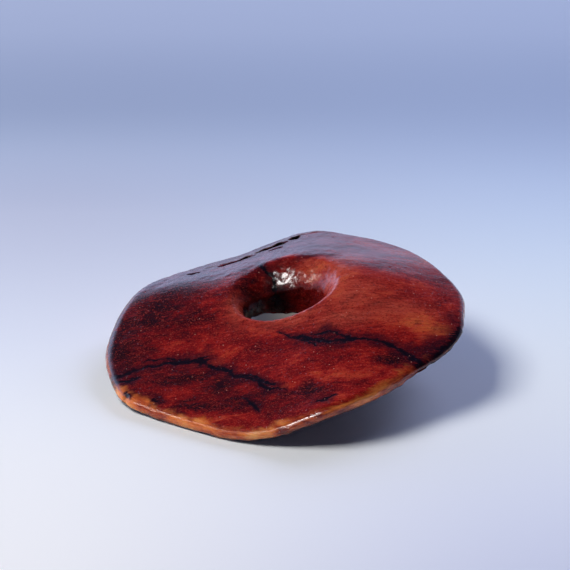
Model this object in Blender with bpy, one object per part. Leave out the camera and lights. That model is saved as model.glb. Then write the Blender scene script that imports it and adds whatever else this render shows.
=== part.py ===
"""Sew-on button: one warped, hand-carved disc with a single funnel-mouthed thread hole.

The whole button is one piece, so the model is one closed body. It is modelled in
millimetres as it lies on a table: +X runs along its longer way across, +Y away from
its thin front edge, +Z up, and the table is z = 0 under the middle of its box.
"""
import math

import bpy
import numpy as np

MM = 0.001

# Thread hole: an upright oval throat with a wide, nearly straight-sided funnel above and a
# small flare below. The funnel reaches further out and deeper on its far side.
HOLE_CENTRE = np.array([0.15, 3.5])
THROAT_HALF_WIDTHS = (4.4, 3.1)
FUNNEL_REACH_NEAR = 1.3
FUNNEL_REACH_FAR = 2.6
FUNNEL_DEPTH_NEAR = 1.8
FUNNEL_DEPTH_FAR = 3.0
FUNNEL_STRAIGHTNESS = 1.4
FLARE_REACH = 0.5

# Flat ring ground round the lower mouth of the hole, where the button bears on the cloth.
SEAT_HEIGHT = 3.9
SEAT_WIDTH = 1.8
SEAT_BLEND = 3.0

# Rim: x, y, height of its lower edge, height of its top edge, rounding of its corners.
# The runs between these points are nearly straight, as on a rim cut by hand.
RIM = [
    # right end
    (20.2, -1.0, 6.6, 8.1, 0.4),
    (20.2, 3.4, 6.4, 8.3, 0.4),
    # back, from right to left
    (18.8, 6.7, 6.8, 8.8, 0.45),
    (16.0, 11.7, 6.5, 8.8, 0.5),
    (12.6, 15.4, 6.0, 8.6, 0.5),
    (7.6, 17.7, 5.9, 8.8, 0.6),
    (3.6, 18.7, 6.0, 8.8, 0.6),
    (-0.6, 17.9, 5.2, 8.0, 0.6),
    (-5.0, 16.6, 3.8, 6.6, 0.7),
    (-10.0, 15.2, 2.8, 5.9, 0.8),
    (-15.3, 11.9, 2.7, 5.5, 0.9),
    # left end
    (-18.4, 7.2, 2.3, 4.8, 0.9),
    (-19.8, 1.8, 1.3, 3.3, 0.8),
    (-19.6, -2.9, 0.8, 2.4, 0.6),
    # front, from left to right
    (-17.9, -8.1, 0.3, 1.6, 0.45),
    (-14.8, -10.7, 0.05, 1.4, 0.4),
    (-10.6, -13.4, 0.0, 1.35, 0.35),
    (-6.0, -16.0, 0.05, 1.4, 0.35),
    (-1.2, -17.2, 0.85, 2.1, 0.35),
    (4.6, -17.0, 3.1, 4.5, 0.35),
    (9.7, -14.7, 4.05, 5.5, 0.35),
    (13.3, -11.7, 4.6, 6.0, 0.35),
    (17.8, -7.8, 5.2, 6.8, 0.4),
    (20.0, -4.4, 6.1, 7.7, 0.4),
]

# Top face inside the rim: x, y, z. The front half climbs at about 15 degrees to a
# ridge behind the hole, and the back falls away from that ridge to the far rim.
TOP_FACE = [
    # front slope
    (-14.0, -1.0, 4.0),
    (-8.5, -5.0, 3.9),
    (0.0, -10.0, 4.8),
    (0.0, -1.7, 7.0),
    (8.0, -6.0, 7.7),
    (14.5, -3.5, 8.1),
    # ridge
    (-15.0, 7.5, 6.0),
    (-9.5, 7.7, 7.1),
    (0.0, 8.8, 9.9),
    (7.3, 4.5, 10.4),
    (13.0, 4.2, 10.0),
    # back flank
    (-9.5, 11.8, 6.7),
    (0.0, 13.5, 9.1),
    (8.0, 11.5, 9.8),
]

# Underside inside the rim: x, y, z. It is a shallow vault.
UNDERSIDE = [
    (-13.0, -3.0, 1.2),
    (-2.0, -10.0, 2.1),
    (8.0, -7.0, 4.5),
    (14.5, -1.0, 5.7),
    (-13.5, 4.0, 1.7),
    (0.0, 14.0, 4.2),
    # round the seat
    (0.0, -4.5, 3.3),
    (7.8, 2.5, 4.0),
    (-7.6, 2.5, 2.8),
    (5.2, 10.4, 4.4),
    (-5.0, 10.2, 3.2),
]

# The underside bears on the table at the front left rim and at two low swellings:
# x, y, half-width along x, half-width along y, depth.
SWELLINGS = [
    (8.6, 11.5, 7.0, 3.9, 4.9),
    (-10.4, 10.4, 5.5, 4.2, 2.55),
]

# Mesh fineness.
SPOKES = 84
FACE_ROWS = 9
CORNER_ROWS = 3
FUNNEL_ROWS = 6
FLARE_ROWS = 2
WALL_ROWS = 2

# Largest corner rounding, as a share of the rim's own height.
WIDEST_CORNER = 0.46

# How far the face heights may relax from their control points, for a fair surface.
RELAXATION = 1.5


def clear_scene():
    """Remove whatever the open file holds."""
    for obj in list(bpy.data.objects):
        bpy.data.objects.remove(obj, do_unlink=True)


def thin_plate(points):
    """Return a smooth height function of plan positions through (x, y, z) points."""
    places, heights = points[:, :2], points[:, 2]
    count = len(points)

    def kernel(a, b):
        squared = ((a[:, None, :] - b[None, :, :]) ** 2).sum(axis=2)
        return 0.5 * squared * np.log(squared + 1e-9)

    def plane(xy):
        return np.hstack([np.ones((len(xy), 1)), xy])

    system = np.zeros((count + 3, count + 3))
    system[:count, :count] = kernel(places, places) + RELAXATION * np.eye(count)
    system[:count, count:] = plane(places)
    system[count:, :count] = plane(places).T
    weights = np.linalg.solve(system, np.concatenate([heights, np.zeros(3)]))

    def height(xy):
        return kernel(xy, places) @ weights[:count] + plane(xy) @ weights[count:]

    return height


def underside_of(rim):
    """Return the height function of the vaulted underside with its swellings."""
    vault = thin_plate(np.vstack([rim[:, [0, 1, 2]], UNDERSIDE]))

    def height(xy):
        result = vault(xy)
        for x, y, half_x, half_y, depth in SWELLINGS:
            apart = (xy - (x, y)) / (half_x, half_y)
            result = result - depth * np.exp(-(apart ** 2).sum(axis=1))
        return result

    return height


def smooth_outline(rows, samples=40):
    """Run a closed Catmull-Rom curve through the outline's rows."""
    before, after, second = np.roll(rows, 1, 0), np.roll(rows, -1, 0), np.roll(rows, -2, 0)
    curve = []
    for start, a, b, end in zip(before, rows, after, second):
        for t in np.arange(samples) / samples:
            point = 2 * a + (b - start) * t
            point = point + (2 * start - 5 * a + 4 * b - end) * t ** 2
            point = point + (3 * a - start - 3 * b + end) * t ** 3
            curve.append(0.5 * point)
    return np.array(curve)


def spokes_from(curve):
    """Pick evenly spaced rim points; return their directions, distances and rounding."""
    steps = np.linalg.norm(np.roll(curve, -1, 0)[:, :2] - curve[:, :2], axis=1)
    along = np.concatenate([[0.0], np.cumsum(steps)])
    closed = np.vstack([curve, curve[:1]])
    places = np.arange(SPOKES) / SPOKES * along[-1]
    picked = np.column_stack([np.interp(places, along, closed[:, k]) for k in range(3)])
    arms = picked[:, :2] - HOLE_CENTRE
    lengths = np.linalg.norm(arms, axis=1)
    return arms / lengths[:, None], lengths, picked[:, 2]


def section_rows(directions, lengths, rounding, top, underside):
    """Return the rings of points, from the throat over the top, round the rim and back."""

    def ring(radii, heights):
        plan = HOLE_CENTRE + directions * np.reshape(radii, (-1, 1))
        return np.column_stack([plan, heights])

    def height_at(face, radii):
        return face(HOLE_CENTRE + directions * np.reshape(radii, (-1, 1)))

    throat = 1 / np.linalg.norm(directions / THROAT_HALF_WIDTHS, axis=1)
    farness = (1 + directions[:, 1]) / 2
    reach = FUNNEL_REACH_NEAR + (FUNNEL_REACH_FAR - FUNNEL_REACH_NEAR) * farness
    depth = FUNNEL_DEPTH_NEAR + (FUNNEL_DEPTH_FAR - FUNNEL_DEPTH_NEAR) * farness
    rim_height = height_at(top, lengths) - height_at(underside, lengths)
    corner = np.minimum(rounding, WIDEST_CORNER * rim_height)
    rings = []

    # funnel mouth, a flattened quarter ellipse from the upright wall out to the top face
    for k in range(FUNNEL_ROWS):
        angle = math.radians(90) * k / FUNNEL_ROWS
        radius = throat + reach * (1 - math.cos(angle) ** FUNNEL_STRAIGHTNESS)
        drop = depth * (1 - math.sin(angle) ** FUNNEL_STRAIGHTNESS)
        rings.append(ring(radius, height_at(top, radius) - drop))

    # top face, out to the start of the rounded edge
    mouth = throat + reach
    for k in range(FACE_ROWS):
        radius = mouth + (lengths - corner - mouth) * k / FACE_ROWS
        rings.append(ring(radius, height_at(top, radius)))

    # rim: rounded top corner, short upright edge, rounded lower corner
    outward = range(CORNER_ROWS + 1)
    for face, sign, order in ((top, -1, outward), (underside, 1, reversed(outward))):
        for k in order:
            angle = math.radians(90) * k / CORNER_ROWS
            radius = lengths - corner + corner * math.sin(angle)
            drop = corner * (1 - math.cos(angle))
            rings.append(ring(radius, height_at(face, radius) + sign * drop))

    # underside, in to the flat seat, easing into its height
    seat = np.full(SPOKES, SEAT_HEIGHT)
    seat_inside = throat + FLARE_REACH
    seat_outside = seat_inside + SEAT_WIDTH
    for k in range(1, FACE_ROWS):
        radius = lengths - corner + (seat_outside - lengths + corner) * k / FACE_ROWS
        ease = np.clip((radius - seat_outside) / SEAT_BLEND, 0, 1)
        ease = ease * ease * (3 - 2 * ease)
        rings.append(ring(radius, ease * height_at(underside, radius) + (1 - ease) * seat))
    rings.append(ring(seat_outside, seat))
    rings.append(ring(seat_inside, seat))

    # lower flare and the upright throat wall
    for k in range(1, FLARE_ROWS + 1):
        angle = math.radians(90) * k / FLARE_ROWS
        radius = throat + FLARE_REACH * (1 - math.sin(angle))
        rings.append(ring(radius, seat + FLARE_REACH * (1 - math.cos(angle))))
    wall_foot = seat + FLARE_REACH
    wall_head = height_at(top, throat) - depth
    for k in range(1, WALL_ROWS):
        rings.append(ring(throat, wall_foot + (wall_head - wall_foot) * k / WALL_ROWS))
    return rings


def polished_material():
    """Deep red-brown polished organic material."""
    material = bpy.data.materials.new("dyed_polished_body")
    material.use_nodes = True
    shader = material.node_tree.nodes["Principled BSDF"]
    shader.inputs["Base Color"].default_value = (0.27, 0.025, 0.018, 1.0)
    shader.inputs["Roughness"].default_value = 0.22
    shader.inputs["Metallic"].default_value = 0.0
    material.diffuse_color = (0.27, 0.025, 0.018, 1.0)
    return material


def build_button():
    """Skin the rings into one closed body, torus-like round the hole."""
    rim = np.array(RIM)
    top = thin_plate(np.vstack([rim[:, [0, 1, 3]], TOP_FACE]))
    underside = underside_of(rim)
    directions, lengths, rounding = spokes_from(smooth_outline(rim[:, [0, 1, 4]]))
    rings = section_rows(directions, lengths, rounding, top, underside)
    points = np.vstack(rings)
    middle = (points.min(axis=0) + points.max(axis=0)) / 2
    points = points - np.array([middle[0], middle[1], points[:, 2].min()])

    count = len(rings)
    faces = []
    for r in range(count):
        for s in range(SPOKES):
            here, after = r * SPOKES, (r + 1) % count * SPOKES
            beside = (s + 1) % SPOKES
            faces.append((here + s, after + s, after + beside, here + beside))

    mesh = bpy.data.meshes.new("button_body")
    mesh.from_pydata((points * MM).tolist(), [], faces)
    mesh.shade_smooth()
    mesh.set_sharp_from_angle(angle=math.radians(50))
    mesh.materials.append(polished_material())
    button = bpy.data.objects.new("button_body", mesh)
    bpy.context.scene.collection.objects.link(button)
    return button


def main():
    clear_scene()
    build_button()


main()
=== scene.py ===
"""The looks of a hand-carved sew-on button: a polished, dyed, veined organic disc on a pale table."""

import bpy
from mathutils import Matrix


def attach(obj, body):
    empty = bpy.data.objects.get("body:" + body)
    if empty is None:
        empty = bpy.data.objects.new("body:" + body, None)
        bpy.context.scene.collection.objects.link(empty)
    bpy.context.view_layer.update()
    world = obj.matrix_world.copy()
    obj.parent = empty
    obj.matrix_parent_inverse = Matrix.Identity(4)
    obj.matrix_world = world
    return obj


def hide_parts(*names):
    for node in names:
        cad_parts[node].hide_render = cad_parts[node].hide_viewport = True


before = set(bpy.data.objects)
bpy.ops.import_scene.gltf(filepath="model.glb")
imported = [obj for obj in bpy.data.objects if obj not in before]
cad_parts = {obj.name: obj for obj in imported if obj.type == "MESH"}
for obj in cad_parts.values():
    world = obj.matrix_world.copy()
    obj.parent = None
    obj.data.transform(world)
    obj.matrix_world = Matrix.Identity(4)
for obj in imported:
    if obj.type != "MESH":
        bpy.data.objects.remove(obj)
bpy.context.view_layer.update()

import math
import random

import bmesh
import bpy
import numpy as np
from mathutils import Matrix, Vector, kdtree, noise

MM = 0.001
SEED = 7

# Camera: elevation in degrees, then distance, width of the view at the button, sensor and aim, mm.
VIEW_ELEVATION = 27.0
VIEW_DISTANCE = 600.0
VIEW_WIDTH = 64.04
SENSOR_WIDTH = 36.0
AIM_ABOVE_ORIGIN = 9.53

# How far the lights stand from the point that they face, and how high that point is, metres.
LIGHT_DISTANCE = 0.45
LIT_HEIGHT = 0.005

# How far the table lies below the button's feet, metres.
TABLE_DROP = 0.00002

# The detailed surface: subdivision levels, voxel size in mm, rounds of fairing and of corner wear.
SUBDIVISIONS = 2
VOXEL = 0.165
FAIRING_ROUNDS = 6
CORNER_WEAR = 45

# Middle of the hole and half-widths of its throat, in plan, mm.
HOLE_CENTRE = (-0.06, 2.81)
THROAT = (4.4, 3.1)

# Veins on the top face, in plan: x, y and half-width at each point, mm.
VEINS = {
    "left": [
        (-20.4, -5.2, 0.5), (-19.0, -5.4, 0.45), (-17.2, -5.2, 0.35), (-15.1, -4.8, 0.3),
        (-13.1, -4.8, 0.35), (-11.3, -4.9, 0.5), (-9.8, -5.1, 0.5), (-8.5, -5.6, 0.4),
        (-7.2, -6.9, 0.4), (-5.4, -8.7, 0.3), (-3.0, -10.3, 0.3), (-1.9, -11.8, 0.3), (0.2, -12.2, 0.15),
    ],
    "left_feather": [(-20.2, -6.1, 0.45), (-18.2, -6.6, 0.3), (-16.0, -6.4, 0.15)],
    "left_upper": [(-16.0, -3.9, 0.08), (-14.0, -3.8, 0.15), (-12.0, -4.3, 0.15)],
    "left_fork": [(-5.8, -8.2, 0.1), (-3.8, -9.3, 0.15), (-2.2, -10.6, 0.2), (-1.2, -11.3, 0.1)],
    "right_head": [(-0.9, -3.4, 0.08), (0.6, -4.3, 0.2), (1.4, -4.9, 0.22)],
    "right": [
        (1.4, -4.9, 0.36), (2.8, -5.9, 0.48), (4.6, -6.6, 0.34), (6.3, -6.7, 0.32), (8.0, -6.8, 0.38),
        (9.6, -7.1, 0.35), (11.2, -7.7, 0.4), (12.6, -8.6, 0.42), (14.0, -9.6, 0.55), (15.2, -10.5, 0.7),
        (16.0, -11.2, 0.8),
    ],
    "right_lower": [(1.6, -5.6, 0.14), (2.6, -6.5, 0.2), (3.6, -7.1, 0.1)],
    "right_upper": [(2.6, -4.8, 0.10), (4.4, -5.2, 0.28), (6.0, -5.9, 0.26), (7.6, -6.7, 0.15)],
    "right_rim": [
        (15.8, -10.4, 0.5), (17.2, -8.8, 0.7), (18.6, -7.0, 0.9), (19.6, -5.4, 1.0), (20.3, -4.2, 0.9),
    ],
    "hook": [(-4.9, -11.8, 0.06), (-4.1, -12.5, 0.2), (-3.6, -13.5, 0.24), (-3.0, -14.8, 0.1)],
    "hole": [(-3.2, 9.0, 0.2), (-2.7, 8.2, 0.28), (-2.1, 7.4, 0.3), (-1.5, 6.7, 0.32), (-0.9, 6.0, 0.35)],
    "spot_front": [(3.4, -15.9, 0.12), (4.4, -16.1, 0.26), (5.3, -15.7, 0.12)],
    "spot_left": [(-14.5, -10.4, 0.28), (-14.1, -10.6, 0.3)],
    "spot_corner": [(-17.6, -8.8, 0.3), (-17.1, -9.2, 0.2)],
}

# Soft colour zones on the top face: x, y, reach along x, reach along y, strength.
DUSKY_ZONES = [
    (-13.6, 7.6, 5.5, 2.6, 1.1), (-14.8, 3.8, 3.2, 3.0, 1.1), (-11.0, 1.8, 2.8, 2.0, 0.6),
    (-19.0, 0.5, 2.8, 7.0, 1.0), (-16.4, 0.0, 2.0, 2.0, 0.7), (-11.4, -7.6, 4.4, 1.3, 1.1),
    (-7.4, -9.6, 2.0, 1.6, 1.0), (-9.8, -12.2, 3.0, 1.4, 0.9), (-4.4, -12.8, 3.4, 1.6, 0.9),
    (-4.4, 6.6, 1.8, 2.6, 0.8), (11.6, -9.9, 1.8, 1.1, 1.0), (14.6, -8.6, 2.4, 1.2, 0.7),
    (17.6, -7.8, 2.6, 1.8, 0.9), (2.2, -13.8, 4.4, 1.3, 0.8), (17.8, -0.6, 2.2, 4.0, 0.2),
    (-6.5, 9.6, 3.0, 1.2, 0.5), (5.2, -6.4, 3.6, 1.1, 0.7), (-13.6, -11.0, 2.2, 0.9, 0.5),
    (-8.6, -0.6, 2.4, 1.2, 0.2), (-11.8, -0.9, 2.2, 1.1, 0.6), (-15.5, -2.6, 2.2, 1.2, 0.5),
    (-12.4, 3.6, 1.4, 0.8, 0.9), (6.4, 11.6, 3.0, 1.2, 0.4),
]
WARM_ZONES = [
    (13.2, -3.4, 4.4, 2.0, 1.1), (16.5, -5.0, 2.8, 1.5, 1.2), (6.3, 3.2, 2.2, 3.0, 1.4),
    (3.2, 6.2, 2.2, 1.4, 1.0), (-6.0, 7.9, 1.8, 0.9, 0.4), (11.6, -11.6, 3.2, 0.8, 0.7),
    (-7.6, -14.6, 2.8, 0.8, 0.9), (8.0, -12.6, 3.6, 1.0, 0.6), (2.6, 8.9, 2.6, 0.8, 0.3),
    (4.0, -11.6, 4.0, 1.6, 0.6), (0.0, -8.0, 4.6, 2.4, 0.2), (12.0, 2.0, 3.6, 2.0, 0.3),
    (-3.6, 0.4, 2.4, 1.0, 0.5), (-12.4, -2.6, 3.0, 1.2, 0.35), (-9.5, -13.6, 3.6, 0.6, 0.8),
]
# Painted sheen, not a colour of the stuff: pinkish lightening where a soft reflection falls round the hole and
# along the back-right flank.
PAINTED_SHEEN_ZONES = [
    (7.6, 0.2, 3.8, 2.6, 1.0), (7.0, -3.2, 3.8, 1.5, 1.0), (0.6, -1.5, 4.6, 1.3, 1.0),
    (-5.2, 1.6, 1.3, 2.4, 1.2), (6.2, 4.6, 1.8, 2.6, 1.1), (11.8, -2.2, 4.2, 1.8, 0.9),
    (3.6, 6.6, 1.6, 1.6, 0.5), (9.5, 13.4, 2.0, 0.9, 1.0), (13.0, 11.4, 2.2, 1.0, 1.2),
    (16.4, 8.8, 2.0, 1.1, 1.1),
]

# Crest line between the front slope and the back flank, in plan, mm.
CREST = [(-21.0, 8.6), (-15.2, 8.2), (-9.6, 8.2), (-3.9, 8.6), (0.0, 9.2), (3.9, 8.2), (7.3, 5.6), (12.9, 4.6),
         (21.0, 4.2)]

# Cracks that run beside the back rim, and the torn lip behind them: x, y and half-width, mm.
CRACKS = [
    [(-7.6, 11.7, 0.05), (-6.6, 12.1, 0.24), (-5.4, 12.2, 0.2), (-4.3, 12.7, 0.36), (-3.4, 12.6, 0.12)],
    [(-3.2, 13.5, 0.06), (-2.3, 13.8, 0.38), (-1.4, 14.1, 0.26), (-0.6, 14.6, 0.44), (0.1, 14.8, 0.12)],
    [(0.5, 15.3, 0.08), (1.1, 15.6, 0.38), (1.7, 16.1, 0.12)],
    [(-11.0, 11.0, 0.05), (-10.2, 11.1, 0.16), (-9.4, 11.4, 0.05)],
    [(-1.8, 12.6, 0.05), (-1.0, 12.9, 0.14), (-0.2, 13.0, 0.05)],
]
LIPS = [[(-9.0, 12.4, 0.2), (-6.6, 13.0, 0.4), (-4.2, 13.4, 0.45), (-1.6, 14.9, 0.5), (0.6, 16.0, 0.45),
         (3.6, 17.2, 0.25)]]

# Depths and heights on the surface; the undercut draws in the lower corner of the raised rim, mm.
CRACK_DEPTH = 0.6
VEIN_DEPTH = 0.02
LIP_HEIGHT = 0.05
UNDERCUT = 0.55

# Stands for "nowhere near" in distances to lines and edges.
FAR = 9.0

# Waves left by the tools: where they are, their height and width in mm, and their offset.
WAVES = [
    ("all", 0.07, 5.0, 3.0),
    ("all", 0.012, 1.3, 8.0),
    ("downward", 0.10, 1.6, 21.0),
    ("downward", 0.05, 0.7, 2.0),
    ("rim", 0.03, 1.1, 14.0),
    ("funnel", 0.03, 0.5, 19.0),
    ("flank", 0.018, 0.6, 27.0),
]

# Chips out of the rim: x, y, z, reach, depth.
CHIPS = [(20.3, -3.9, 7.0, 0.9, 0.20), (16.6, -9.9, 5.2, 1.0, 0.16), (18.9, -6.2, 6.2, 0.7, 0.10),
         (-17.6, -9.0, 1.0, 0.7, 0.2)]


def map_range(tree, value, low, high, to_low, to_high):
    """Shader node that maps low..high to to_low..to_high, clamped."""
    node = tree.nodes.new("ShaderNodeMapRange")
    for socket, number in zip(list(node.inputs)[1:5], (low, high, to_low, to_high)):
        socket.default_value = number
    tree.links.new(value, node.inputs["Value"])
    return node


def fill_ramp(ramp, stops):
    """Give a colour ramp its stops, each a place and a colour."""
    elements = ramp.elements
    elements[0].position, elements[0].color = stops[0][0], (*stops[0][1], 1)
    elements[1].position, elements[1].color = stops[-1][0], (*stops[-1][1], 1)
    for position, colour in stops[1:-1]:
        elements.new(position).color = (*colour, 1)


# ---------------------------------------------------------------- camera and light

def look_at(obj, target):
    """Turn a camera or light so that it faces a point."""
    obj.rotation_euler = (target - obj.location).to_track_quat("-Z", "Y").to_euler()


def make_camera():
    """A long lens that looks down on the button from its thin front edge."""
    tilt = math.radians(VIEW_ELEVATION)
    upward = Vector((0, math.sin(tilt), math.cos(tilt)))
    toward_camera = Vector((0, -math.cos(tilt), math.sin(tilt)))
    aim = upward * AIM_ABOVE_ORIGIN * MM
    data = bpy.data.cameras.new("camera")
    data.sensor_width = SENSOR_WIDTH
    data.lens = SENSOR_WIDTH * VIEW_DISTANCE / VIEW_WIDTH
    data.clip_start = 0.01
    camera = bpy.data.objects.new("camera", data)
    camera.location = aim + toward_camera * VIEW_DISTANCE * MM
    bpy.context.scene.collection.objects.link(camera)
    look_at(camera, aim)
    bpy.context.scene.camera = camera


def area_light(name, direction, size, power, colour, glints):
    """A soft box that faces the button and only lights it, or only glints in its polish."""
    data = bpy.data.lights.new(name, "AREA")
    data.shape = "RECTANGLE"
    data.size, data.size_y = size
    data.energy = power
    data.color = colour
    light = bpy.data.objects.new(name, data)
    light.location = Vector(direction).normalized() * LIGHT_DISTANCE
    light.visible_glossy = glints
    light.visible_diffuse = not glints
    bpy.context.scene.collection.objects.link(light)
    look_at(light, Vector((0, 0, LIT_HEIGHT)))


# The room from table height to overhead: place, colour.
ROOM = [(0.0, (0.92, 1.02, 1.55)), (0.24, (0.90, 1.05, 1.60)), (0.44, (0.10, 0.12, 0.22)),
        (0.60, (0.024, 0.029, 0.060)), (1.0, (0.012, 0.016, 0.036))]


def make_world():
    """A dim room with a bright, bluish band low down behind the table, strongest on the left."""
    world = bpy.data.worlds.new("studio")
    bpy.context.scene.world = world
    world.use_nodes = True
    tree = world.node_tree
    tree.nodes.clear()
    place = tree.nodes.new("ShaderNodeTexCoord")
    split = tree.nodes.new("ShaderNodeSeparateXYZ")
    tree.links.new(place.outputs["Generated"], split.inputs[0])
    ramp = tree.nodes.new("ShaderNodeValToRGB")
    fill_ramp(ramp.color_ramp, ROOM)
    tree.links.new(split.outputs["Z"], ramp.inputs[0])
    depth = map_range(tree, split.outputs["Y"], -0.35, 0.35, 0.08, 1.0)
    side = map_range(tree, split.outputs["X"], -0.35, 0.32, 1.34, 0.42)
    strength = tree.nodes.new("ShaderNodeMath")
    strength.operation = "MULTIPLY"
    tree.links.new(depth.outputs["Result"], strength.inputs[0])
    tree.links.new(side.outputs["Result"], strength.inputs[1])
    background = tree.nodes.new("ShaderNodeBackground")
    tree.links.new(ramp.outputs["Color"], background.inputs["Color"])
    tree.links.new(strength.outputs[0], background.inputs["Strength"])
    output = tree.nodes.new("ShaderNodeOutputWorld")
    tree.links.new(background.outputs[0], output.inputs["Surface"])


# Key from the upper left, cool fill from behind on the right, and two boxes for the glints:
# name, direction, size in metres, power in watts, colour, whether it only glints.
LIGHTS = [
    ("key", (-0.54, 0.04, 0.80), (0.20, 0.20), 1.60, (1.0, 0.98, 0.89), False),
    ("fill", (0.50, 0.74, 0.50), (0.30, 0.20), 1.0, (0.80, 0.88, 1.25), False),
    ("glint_box", (-0.29, -0.75, 0.59), (0.12, 0.04), 1.1, (1.0, 0.98, 0.97), True),
    ("glint_side", (-0.86, -0.34, 0.46), (0.14, 0.02), 0.28, (1.0, 0.96, 0.92), True),
]


def make_lights():
    """Set up every studio light."""
    for light in LIGHTS:
        area_light(*light)


# Painted light on the table: a bright pool that fades and cools from front to back, given at its left and at
# its right as place, colour.
TABLE_LIGHT_POOL_LEFT = [(0.0, (0.97, 0.96, 1.0)), (0.20, (0.95, 0.96, 1.0)), (0.34, (0.76, 0.81, 0.95)),
              (0.50, (0.47, 0.50, 0.66)), (0.58, (0.43, 0.50, 0.68)), (0.65, (0.27, 0.33, 0.50)),
              (0.76, (0.37, 0.43, 0.61)), (1.0, (0.48, 0.54, 0.72))]
TABLE_LIGHT_POOL_RIGHT = [(0.0, (0.62, 0.65, 0.84)), (0.14, (0.76, 0.80, 0.98)), (0.28, (0.90, 0.94, 1.0)),
               (0.42, (0.70, 0.80, 0.94)), (0.54, (0.50, 0.60, 0.82)), (0.65, (0.29, 0.36, 0.55)),
               (0.76, (0.38, 0.45, 0.63)), (1.0, (0.48, 0.54, 0.72))]


def make_floor():
    """A wide pale table with painted light: a pool that fades and cools towards the back, and painted shade
    and light under the button.
    """
    bpy.ops.mesh.primitive_plane_add(size=4.0, location=(0, 0, -TABLE_DROP))
    floor = bpy.context.object
    floor.name = "table_top"
    p = Painter("table_top")
    split = p.tree.nodes.new("ShaderNodeSeparateXYZ")
    p.link(p.place, split.inputs[0])
    # Painted pool of light: the table's tone by place, bright in front and fading towards the back.
    depth = p.fit(split.outputs["Y"], -0.060, 0.140, kind="LINEAR")
    side = p.fit(split.outputs["X"], -0.030, 0.034)
    tone = p.mix(side, p.ramp(depth, TABLE_LIGHT_POOL_LEFT, "B_SPLINE"), p.ramp(depth, TABLE_LIGHT_POOL_RIGHT, "B_SPLINE"))
    # Painted shade under the button: a dark patch under its front, and under the hole a patch painted dark on
    # its left and warm and lit on its right.
    shade_and_light_under_hole = p.fit(p.distance((0.001, 0.012, 0.0)), 0.0068, 0.0040, 0.0, 0.85)
    painted_shade_under_front = p.fit(p.distance((-0.001, -0.001, 0.0)), 0.009, 0.005, 0.0, 0.9)
    across = p.fit(split.outputs["X"], -0.0030, 0.0022)
    tone = p.mix(shade_and_light_under_hole, tone, p.mix(across, (0.16, 0.13, 0.07), (0.70, 0.52, 0.24)))
    tone = p.mix(painted_shade_under_front, tone, (0.08, 0.03, 0.02))
    p.link(tone, p.shader.inputs["Base Color"])
    p.shader.inputs["Roughness"].default_value = 0.75
    p.shader.inputs["Specular IOR Level"].default_value = 0.2
    floor.data.materials.append(p.material)


# ---------------------------------------------------------------- surface detail

def even_surface(node):
    """A dense, even and fair copy of a CAD node's surface, in millimetres."""
    mesh = node.data.copy()
    mesh.transform(Matrix.Scale(1 / MM, 4))
    work = bmesh.new()
    work.from_mesh(mesh)
    bmesh.ops.remove_doubles(work, verts=work.verts, dist=1e-4)
    any_angle = {"angle_face_threshold": math.pi, "angle_shape_threshold": math.pi}
    bmesh.ops.join_triangles(work, faces=work.faces, **any_angle)
    work.to_mesh(mesh)
    work.free()
    mesh.materials.clear()
    draft = bpy.data.objects.new("draft", mesh)
    bpy.context.scene.collection.objects.link(draft)
    fair = draft.modifiers.new("fair", "SUBSURF")
    fair.levels = fair.render_levels = SUBDIVISIONS
    even = draft.modifiers.new("even", "REMESH")
    even.mode = "VOXEL"
    even.voxel_size = VOXEL
    evaluated = draft.evaluated_get(bpy.context.evaluated_depsgraph_get())
    result = bpy.data.meshes.new_from_object(evaluated)
    bpy.data.objects.remove(draft)
    return result


def read_points(mesh):
    """Vertex positions as an array of rows."""
    points = np.empty(len(mesh.vertices) * 3)
    mesh.vertices.foreach_get("co", points)
    return points.reshape(-1, 3)


def read_normals(mesh):
    """Vertex normals as an array of rows."""
    normals = np.empty(len(mesh.vertices) * 3, dtype=np.float32)
    mesh.vertex_normals.foreach_get("vector", normals)
    return normals.reshape(-1, 3).astype(float)


def write_points(mesh, points):
    """Move the vertices to new positions."""
    mesh.vertices.foreach_set("co", points.astype(np.float32).ravel())
    mesh.update()


def edge_links(mesh):
    """Both ends of every edge, and how many edges meet at each vertex."""
    edges = np.empty(len(mesh.edges) * 2, dtype=np.int64)
    mesh.edges.foreach_get("vertices", edges)
    a, b = edges.reshape(-1, 2).T
    count = len(mesh.vertices)
    return a, b, np.bincount(a, minlength=count) + np.bincount(b, minlength=count)


def neighbour_mean(values, links):
    """Mean over each vertex's neighbours of one value, or of a row of values, per vertex."""
    a, b, valence = links
    count = len(values)
    columns = values.reshape(count, -1).T
    total = [np.bincount(a, column[b], count) + np.bincount(b, column[a], count) for column in columns]
    return (np.column_stack(total) / valence[:, None]).reshape(values.shape)


def fair_points(points, links, rounds):
    """Taubin smoothing: evens out voxel steps without shrinking the shape."""
    for step in range(rounds * 2):
        share = 0.6 if step % 2 == 0 else -0.61
        points = points + share * (neighbour_mean(points, links) - points)
    return points


def soften(points, links, weight, rounds):
    """Plain smoothing where `weight` is high: wears an edge rounder."""
    for _ in range(8):
        weight = 0.5 * (weight + neighbour_mean(weight, links))
    weight = np.clip(weight * 3, 0, 1)
    for _ in range(rounds):
        points = points + 0.5 * weight[:, None] * (neighbour_mean(points, links) - points)
    return points


def edge_distance(points, normals, outside):
    """Distance of every point from the outer rim's upright face, mm."""
    on_rim = np.flatnonzero((np.abs(normals[:, 2]) < 0.25) & (outside > 0.5))[::3]
    tree = kdtree.KDTree(len(on_rim))
    for k in on_rim.tolist():
        tree.insert(points[k], k)
    tree.balance()
    return np.array([tree.find(point)[2] for point in points.tolist()])


def noise_at(points, scale, offset=0.0):
    """Smooth noise, about -1 to 1, with features `scale` millimetres across."""
    places = (points + offset) / scale
    return np.array([noise.noise(Vector(place)) for place in places.tolist()]) * 1.6


def smooth_step(low, high, values):
    """0 at low, 1 at high and smooth between; low may be the larger."""
    t = np.clip((values - low) / (high - low), 0, 1)
    return t * t * (3 - 2 * t)


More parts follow.
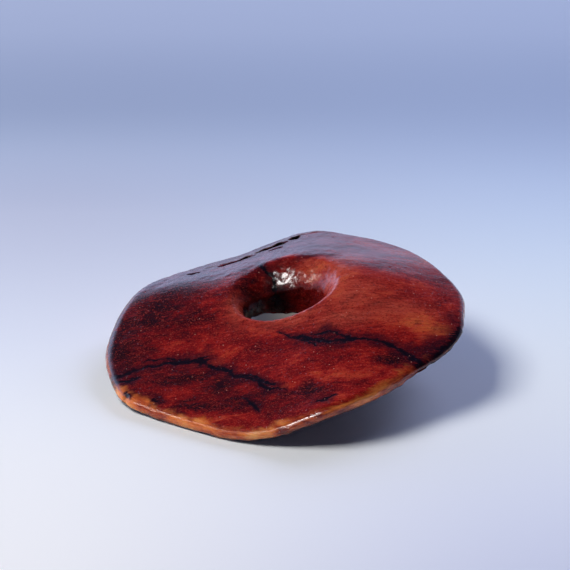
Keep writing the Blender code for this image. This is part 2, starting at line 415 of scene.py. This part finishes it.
def line_distance(places, line):
    """Distance from plan positions to a polyline, in units of its local half-width."""
    nearest = np.full(len(places), 1e9)
    for (xa, ya, wa), (xb, yb, wb) in zip(line, line[1:]):
        start, run = np.array([xa, ya]), np.array([xb - xa, yb - ya])
        share = np.clip(((places - start) @ run) / (run @ run), 0, 1)
        gap = np.linalg.norm(places - start - share[:, None] * run, axis=1)
        nearest = np.minimum(nearest, gap / (wa + share * (wb - wa)))
    return nearest


def zone_strength(places, zones):
    """Strength at plan positions of the strongest of several soft oval zones."""
    total = np.zeros(len(places))
    for x, y, reach_x, reach_y, strength in zones:
        apart = (places - (x, y)) / (reach_x, reach_y)
        total = np.maximum(total, strength * np.exp(-(apart ** 2).sum(axis=1)))
    return total


def warped_plan(points):
    """Plan positions pushed about by noise, so that drawn lines come out ragged."""
    shift_x = 0.35 * noise_at(points, 2.2, 11.0) + 0.12 * noise_at(points, 0.6, 5.0)
    shift_y = 0.30 * noise_at(points, 1.8, 31.0) + 0.14 * noise_at(points, 0.5, 17.0)
    return points[:, :2] + np.column_stack([shift_x, shift_y])


def nearest_line(places, lines):
    """Distance from plan positions to the nearest of several polylines, in its half-widths."""
    return np.min([line_distance(places, line) for line in lines], axis=0)


def hole_reach(places):
    """Distance of plan positions from the middle of the hole, in half-widths of its throat."""
    return np.linalg.norm((places - HOLE_CENTRE) / THROAT, axis=1)


def facing(normals, sign):
    """How far each point faces up (sign 1) or down (sign -1), from 0 to 1."""
    return smooth_step(0.15, 0.6, sign * normals[:, 2])


def round_off(mesh):
    """Fair the surface and wear the outer rim's top corner; also tells what lies outside the hole."""
    links = edge_links(mesh)
    points = fair_points(read_points(mesh), links, FAIRING_ROUNDS)
    write_points(mesh, points)
    slope = read_normals(mesh)[:, 2]
    outside = smooth_step(2.0, 2.6, hole_reach(points[:, :2]))
    corner = smooth_step(0.2, 0.4, slope) * (1 - smooth_step(0.80, 0.92, slope))
    points = soften(points, links, corner * outside, CORNER_WEAR)
    write_points(mesh, points)
    return points, outside


def region_masks(points, plan, normals, outside):
    """Where each colour, each kind of wear, the painted sheen and the painted shade belong, as one value per
    point.
    """
    base_plan = points[:, :2]
    x, y = base_plan.T
    slope = normals[:, 2]
    upward = facing(normals, 1)
    veins = nearest_line(plan, VEINS.values()) * (1 + 0.45 * noise_at(points, 1.4, 51.0))
    cracks = nearest_line(base_plan + 0.55 * (plan - base_plan), CRACKS)
    lip = 1 - smooth_step(0.4, 1.2, nearest_line(plan, LIPS))
    # Painted shade inside the hole: the throat, strongest on its left wall.
    throat = 1 - smooth_step(1.0, 1.10, hole_reach(base_plan) + 0.06 * noise_at(points, 1.0, 37.0))
    throat *= 1 - 0.85 * smooth_step(-0.5, 1.2, x)
    crest = np.interp(x, *np.transpose(CREST))
    crest += 0.6 * noise_at(points, 2.4, 41.0) + 0.4 * noise_at(points, 0.6, 43.0)
    flank = smooth_step(-1.1, 0.6, y - crest) * upward * (1 - 0.6 * smooth_step(1.0, 9.0, x))
    front = smooth_step(-4.5, -8.5, y) * (1 - 0.65 * smooth_step(10.5, 14.5, x))
    return {
        "vein": np.clip(np.where(slope > -0.3, veins, FAR), 0, FAR),
        "crack": np.clip(np.where(slope > 0.2, cracks, FAR), 0, FAR),
        "dusky": zone_strength(plan, DUSKY_ZONES) * upward,
        "warm": zone_strength(plan, WARM_ZONES) * upward,
        "painted_sheen": zone_strength(plan, PAINTED_SHEEN_ZONES) * upward,
        "flank": flank,
        "throat": throat,
        "lip": lip * (slope > 0),
        "band": outside * (1 - smooth_step(0.30, 0.80, slope)) * (1 - facing(normals, -1)),
        # Painted shade on the downward-facing outer surface, below the rim's lower corner.
        "painted_underside_shade": outside * smooth_step(0.05, 0.5, -slope),
        "front": front + 0.55 * smooth_step(4.0, 9.0, y),
    }


def draw_pits():
    """Small pits all over the top, and a cluster on the right of the back flank: x, y, size."""
    draw = random.Random(SEED)
    pits = [(draw.uniform(-18, 18), draw.uniform(-15, 15), draw.uniform(0.10, 0.22)) for _ in range(50)]
    return pits + [(draw.uniform(9.5, 17), draw.uniform(5, 8.5), draw.uniform(0.12, 0.26)) for _ in range(12)]


def relief(points, plan, normals, outside, masks):
    """Height to add along each normal, mm: waves, lip, undercut, veins, cracks, chips and pits."""
    upward = facing(normals, 1)
    downward = facing(normals, -1)
    places = {
        "all": 1.0,
        "downward": downward,
        "rim": 1 - np.maximum(upward, downward),
        "funnel": 1 - smooth_step(1.5, 1.9, hole_reach(points[:, :2])),
        "flank": masks["flank"],
    }
    lift = masks["flank"] * 0.03 * noise_at(points * (0.5, 1.0, 1.0), 1.2, 33.0)
    for place, height, width, offset in WAVES:
        lift += places[place] * height * noise_at(points, width, offset)
    lift += masks["lip"] * LIP_HEIGHT * (1 + 0.3 * noise_at(points, 1.2, 23.0))

    raised_end = smooth_step(12.5, 15.5, points[:, 0]) * smooth_step(0.0, 3.0, -points[:, 1])
    lift -= UNDERCUT * raised_end * outside * (1 - smooth_step(-0.1, 0.5, normals[:, 2]))
    lift -= VEIN_DEPTH * upward * (1 - smooth_step(0.5, 1.4, masks["vein"]))
    lift -= CRACK_DEPTH * (1 - smooth_step(0.2, 1.15, masks["crack"]))

    ragged = 0.15 * noise_at(points, 0.6)
    for x, y, z, reach, depth in CHIPS:
        apart = np.linalg.norm(points - (x, y, z), axis=1) / reach
        lift -= depth * (1 - smooth_step(0.3, 1.0, apart + ragged))
    for x, y, size in draw_pits():
        apart = np.hypot(plan[:, 0] - x, (plan[:, 1] - y) * 1.5) / size
        lift -= upward * 0.25 * size * (1 - smooth_step(0.2, 1.0, apart))
    return lift


def carve(mesh):
    """Wear, cracks, chips and pits in the surface; returns the masks that its colours need."""
    points, outside = round_off(mesh)
    normals = read_normals(mesh)
    plan = warped_plan(points)
    masks = region_masks(points, plan, normals, outside)
    points = points + normals * relief(points, plan, normals, outside, masks)[:, None]
    points[:, 2] = np.maximum(points[:, 2], 0.0)
    write_points(mesh, points)
    masks["edge"] = np.clip(edge_distance(points, normals, outside), 0, FAR)
    return masks


def store(mesh, masks):
    """Keep the masks as attributes that the material reads."""
    for name, values in masks.items():
        attribute = mesh.attributes.new(name, "FLOAT", "POINT")
        attribute.data.foreach_set("value", values.astype(np.float32))


# ---------------------------------------------------------------- material

class Painter:
    """Small helper that chains shader nodes in one material."""

    def __init__(self, name):
        self.material = bpy.data.materials.new(name)
        self.material.use_nodes = True
        self.tree = self.material.node_tree
        self.shader = self.tree.nodes["Principled BSDF"]
        self.place = self.tree.nodes.new("ShaderNodeTexCoord").outputs["Object"]

    def link(self, source, target):
        self.tree.links.new(source, target)

    def mask(self, name):
        node = self.tree.nodes.new("ShaderNodeAttribute")
        node.attribute_name = name
        return node.outputs["Fac"]

    def stretched(self, scales, turn=0.0):
        node = self.tree.nodes.new("ShaderNodeMapping")
        node.inputs["Scale"].default_value = [s / MM for s in scales]
        node.inputs["Rotation"].default_value = (0, 0, turn)
        self.link(self.place, node.inputs["Vector"])
        return node.outputs["Vector"]

    def noise(self, scales, detail=4.0, roughness=0.6, distortion=0.0, turn=0.0):
        """Noise whose features repeat `scales` times per millimetre along each axis."""
        node = self.tree.nodes.new("ShaderNodeTexNoise")
        node.inputs["Scale"].default_value = 1.0
        node.inputs["Detail"].default_value = detail
        node.inputs["Roughness"].default_value = roughness
        node.inputs["Distortion"].default_value = distortion
        self.link(self.stretched(scales, turn), node.inputs["Vector"])
        return node.outputs["Fac"]

    def specks(self, scale):
        """Distance to scattered points, about `scale` of them per millimetre."""
        node = self.tree.nodes.new("ShaderNodeTexVoronoi")
        node.inputs["Scale"].default_value = 1.0
        self.link(self.stretched((scale, scale, scale)), node.inputs["Vector"])
        return node.outputs["Distance"]

    def distance(self, centre):
        """Distance from a point, in metres."""
        node = self.tree.nodes.new("ShaderNodeVectorMath")
        node.operation = "DISTANCE"
        node.inputs[1].default_value = centre
        self.link(self.place, node.inputs[0])
        return node.outputs["Value"]

    def math(self, kind, a, b=None):
        node = self.tree.nodes.new("ShaderNodeMath")
        node.operation = kind
        for socket, value in zip(node.inputs, (a, b)):
            if value is None:
                continue
            if isinstance(value, (int, float)):
                socket.default_value = value
            else:
                self.link(value, socket)
        return node.outputs[0]

    def fit(self, value, low, high, to_low=0.0, to_high=1.0, kind="SMOOTHSTEP"):
        """Map low..high to to_low..to_high, clamped."""
        node = map_range(self.tree, value, low, high, to_low, to_high)
        node.interpolation_type = kind
        return node.outputs["Result"]

    def ramp(self, value, stops, kind="LINEAR"):
        node = self.tree.nodes.new("ShaderNodeValToRGB")
        node.color_ramp.interpolation = kind
        fill_ramp(node.color_ramp, stops)
        self.link(value, node.inputs[0])
        return node.outputs["Color"]

    def mix(self, share, first, second, kind="MIX"):
        node = self.tree.nodes.new("ShaderNodeMix")
        node.data_type = "RGBA"
        node.blend_type = kind
        for socket, value in zip((node.inputs[0], node.inputs[6], node.inputs[7]), (share, first, second)):
            if isinstance(value, (int, float)):
                socket.default_value = value
            elif isinstance(value, tuple):
                socket.default_value = (*value, 1)
            else:
                self.link(value, socket)
        return node.outputs[2]

    def bump(self, height, strength, distance, below=None):
        node = self.tree.nodes.new("ShaderNodeBump")
        node.inputs["Strength"].default_value = strength
        node.inputs["Distance"].default_value = distance * MM
        self.link(height, node.inputs["Height"])
        if below is not None:
            self.link(below, node.inputs["Normal"])
        return node.outputs["Normal"]


def dye_colour(p, clouds, fibres, grains, dust):
    """Red dye that has sunk in unevenly, with dusky and warm zones, and a pinkish painted sheen round the hole
    and on the back-right flank.
    """
    tone = p.math("ADD", p.math("MULTIPLY", clouds, 0.62), p.math("MULTIPLY", fibres, 0.38))
    tone = p.math("ADD", tone, p.math("MULTIPLY", p.mask("warm"), 0.17))
    tone = p.math("SUBTRACT", tone, p.math("MULTIPLY", p.mask("dusky"), 0.18))
    colour = p.ramp(tone, [
        (0.27, (0.026, 0.0015, 0.003)),
        (0.38, (0.080, 0.0030, 0.005)),
        (0.48, (0.178, 0.0045, 0.0055)),
        (0.56, (0.300, 0.0110, 0.0085)),
        (0.64, (0.440, 0.0400, 0.0190)),
        (0.76, (0.600, 0.1100, 0.0320)),
    ])
    # Painted sheen: pinkish lightening, broken into streaks along the fibres.
    streaks = p.fit(fibres, 0.36, 0.60, 0.35, 0.80)
    colour = p.mix(p.math("MULTIPLY", p.mask("painted_sheen"), streaks), colour, (0.480, 0.076, 0.048))
    colour = p.mix(p.fit(grains, 0.55, 0.74, 0.0, 0.36), colour, (0.42, 0.040, 0.028))
    colour = p.mix(p.fit(grains, 0.48, 0.28, 0.0, 0.60), colour, (0.035, 0.002, 0.005))
    colour = p.mix(p.fit(dust, 0.54, 0.72, 0.0, 0.50), colour, (0.52, 0.070, 0.042))
    colour = p.mix(p.fit(dust, 0.46, 0.28, 0.0, 0.70), colour, (0.030, 0.002, 0.004))
    mottles = p.noise((0.6, 1.1, 0.9), detail=7, roughness=0.72, distortion=1.5)
    mottles = p.math("MULTIPLY", p.fit(mottles, 0.54, 0.44), p.mask("dusky"))
    return p.mix(p.math("MULTIPLY", mottles, 0.90), colour, (0.014, 0.003, 0.007))


def flank_and_throat(p, colour):
    """A plum-dark bloom on the back flank, and painted shade: the hole's throat darkened to nearly black on
    its left, where shade falls inside the hole.
    """
    bloom = p.ramp(p.noise((0.5, 1.6, 1.2), detail=6, roughness=0.68, distortion=0.8), [
        (0.36, (0.012, 0.003, 0.010)),
        (0.50, (0.050, 0.006, 0.020)),
        (0.64, (0.150, 0.016, 0.030)),
    ])
    colour = p.mix(p.math("MULTIPLY", p.mask("flank"), 0.90), colour, bloom)
    # Painted shade: the throat's left wall darkened nearly to black.
    return p.mix(p.math("MULTIPLY", p.mask("throat"), 0.85), colour, (0.020, 0.001, 0.0015))


def vein_distance(p, fibres, grains):
    """Distance to the nearest vein, in its half-widths, frayed along the fibres."""
    frayed = p.math("ADD", p.mask("vein"), p.math("MULTIPLY", p.math("SUBTRACT", fibres, 0.5), 2.4))
    return p.math("ADD", frayed, p.math("MULTIPLY", p.math("SUBTRACT", grains, 0.5), 1.6))


def vein_colour(p, colour, vein):
    """Blue-black veins with a wide dark stain round each."""
    colour = p.mix(p.fit(vein, 4.4, 0.9, 0.0, 0.70), colour, (0.030, 0.003, 0.008))
    return p.mix(p.fit(vein, 1.2, 0.3, 0.0, 1.0), colour, (0.006, 0.003, 0.008))


def rim_colour(p, colour, clouds, vein):
    """Undyed honey-coloured stuff on the rim, which also shows through along the front edge, and painted shade
    on the rim's lower corner.
    """
    honey = p.ramp(p.noise((0.24, 0.24, 0.7), detail=6, roughness=0.62), [
        (0.36, (0.210, 0.014, 0.007)),
        (0.44, (0.550, 0.085, 0.021)),
        (0.54, (0.890, 0.230, 0.050)),
        (0.66, (0.980, 0.390, 0.110)),
    ])
    frayed = p.math("ADD", p.mask("edge"), p.math("MULTIPLY", p.math("SUBTRACT", clouds, 0.5), 5.0))
    bleed = p.math("MULTIPLY", p.fit(frayed, 1.3, 0.0, 0.0, 0.80), p.mask("front"))
    colour = p.mix(p.math("MULTIPLY", bleed, p.fit(vein, 0.8, 2.6)), colour, honey)
    band = p.math("MULTIPLY", p.fit(p.mask("band"), 0.25, 0.8), p.fit(p.mask("front"), 0.0, 0.9, 0.35, 0.95))
    colour = p.mix(p.math("MULTIPLY", band, p.fit(vein, 0.2, 1.8, 0.25, 1.0)), colour, honey)
    # Painted shade: the downward-facing lower corner of the rim darkened to a near-black brown.
    return p.mix(p.math("MULTIPLY", p.mask("painted_underside_shade"), 0.85), colour, (0.035, 0.010, 0.006))


def small_marks(p, colour):
    """Pale flecks that are partly painted glints, the torn lip and the dark insides of the cracks."""
    # Pale flecks scattered over the surface: partly real specks and partly painted glints, small dots
    # lightened as if they caught the light.
    colour = p.mix(p.fit(p.specks(1.0), 0.085, 0.03, 0.0, 0.7), colour, (0.70, 0.32, 0.26))
    colour = p.mix(p.math("MULTIPLY", p.mask("lip"), 0.30), colour, (0.24, 0.19, 0.17))
    return p.mix(p.fit(p.mask("crack"), 1.35, 0.95), colour, (0.003, 0.002, 0.002))


def dyed_body_material():
    """Deep red dye over fibrous honey-coloured stuff, with blue-black veins and a clear polish."""
    p = Painter("dyed_body")
    clouds = p.noise((0.22, 0.34, 0.3), detail=5, roughness=0.6, distortion=0.9)
    fibres = p.noise((0.40, 2.2, 1.2), detail=6, roughness=0.66, distortion=1.0, turn=0.10)
    grains = p.noise((2.0, 3.2, 3.0), detail=4, roughness=0.7)
    dust = p.noise((5.0, 6.5, 6.0), detail=2, roughness=0.6)
    vein = vein_distance(p, fibres, grains)

    colour = dye_colour(p, clouds, fibres, grains, dust)
    colour = flank_and_throat(p, colour)
    colour = vein_colour(p, colour, vein)
    colour = rim_colour(p, colour, clouds, vein)
    p.link(small_marks(p, colour), p.shader.inputs["Base Color"])

    p.link(p.fit(grains, 0.35, 0.7, 0.14, 0.28), p.shader.inputs["Roughness"])
    p.shader.inputs["IOR"].default_value = 1.5
    p.shader.inputs["Coat Weight"].default_value = 0.2
    p.shader.inputs["Coat Roughness"].default_value = 0.10
    p.shader.inputs["Subsurface Weight"].default_value = 0.06
    p.shader.inputs["Subsurface Radius"].default_value = (1.0, 0.2, 0.1)
    p.shader.inputs["Subsurface Scale"].default_value = 0.5 * MM

    normal = p.bump(fibres, 0.35, 0.05)
    normal = p.bump(grains, 0.7, 0.04, below=normal)
    normal = p.bump(dust, 0.4, 0.02, below=normal)
    normal = p.bump(p.fit(p.specks(1.6), 0.0, 0.20), 0.6, 0.06, below=normal)
    p.link(normal, p.shader.inputs["Normal"])
    return p.material


def make_button():
    """The detailed body that stands for the CAD solid."""
    mesh = even_surface(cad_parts["button_body"])
    store(mesh, carve(mesh))
    mesh.transform(Matrix.Scale(MM, 4))
    mesh.shade_smooth()
    mesh.materials.append(dyed_body_material())
    button = bpy.data.objects.new("carved_button", mesh)
    bpy.context.scene.collection.objects.link(button)
    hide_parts("button_body")
    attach(button, "root")


bpy.context.scene.view_settings.view_transform = "Standard"
make_camera()
make_world()
make_lights()
make_floor()
make_button()
